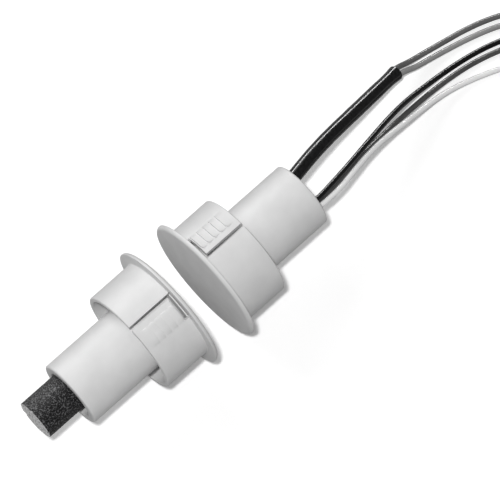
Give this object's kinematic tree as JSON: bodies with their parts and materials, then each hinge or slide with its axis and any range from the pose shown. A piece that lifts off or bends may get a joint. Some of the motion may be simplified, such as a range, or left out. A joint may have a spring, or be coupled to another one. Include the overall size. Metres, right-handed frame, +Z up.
{
  "type": "recessed magnetic contact",
  "caption": "Press-in magnetic contact for a steel door: flanged switch half with leads, and magnet half.",
  "frame": {"origin": "on the floor, below the middle of the box round the two halves without their leads", "axes": "+X along the halves' axes from the magnet half to the switch half and its leads, +Z up, flange rims on the floor"},
  "size_m": [0.1826, 0.0358, 0.0308],
  "materials": {
    "white_abs": "white moulded ABS, fine satin",
    "cast_alnico": "raw cast alnico, dark and grainy, ground end face",
    "grey_epoxy": "dark grey cast epoxy",
    "reed_glass": "clear green-tinted glass",
    "nickel_iron": "drawn nickel-iron wire, stamped flat",
    "solder": "bright tin solder",
    "tinned_copper": "tinned copper, crimped",
    "black_polyolefin": "black heat-shrink sleeve, satin gloss",
    "black_pvc": "black PVC insulation",
    "dark_grey_pvc": "dark grey PVC insulation",
    "white_pvc": "white PVC insulation",
    "mid_grey_pvc": "mid grey PVC insulation",
    "light_grey_pvc": "light grey PVC insulation",
    "black_nylon": "black nylon tie"
  },
  "bodies": {
    "root": {"switch_housing": "white_abs", "magnet_housing": "white_abs", "magnet": "cast_alnico", "magnet_adhesive": "grey_epoxy", "potting_compound": "grey_epoxy", "reed_glass": "reed_glass", "reed_common_blade": "nickel_iron", "reed_open_contact": "nickel_iron", "reed_closed_contact": "nickel_iron", "common_solder_joint": "solder", "open_solder_joint": "solder", "closed_solder_joint": "solder", "loop_splice": "tinned_copper", "heat_shrink_sleeve": "black_polyolefin", "black_lead": "black_pvc", "dark_grey_lead": "dark_grey_pvc", "white_lead": "white_pvc", "upper_loop_lead": "mid_grey_pvc", "lower_loop_lead": "light_grey_pvc", "lead_coil": "mid_grey_pvc", "coil_tie": "black_nylon"}
  },
  "joints": []
}
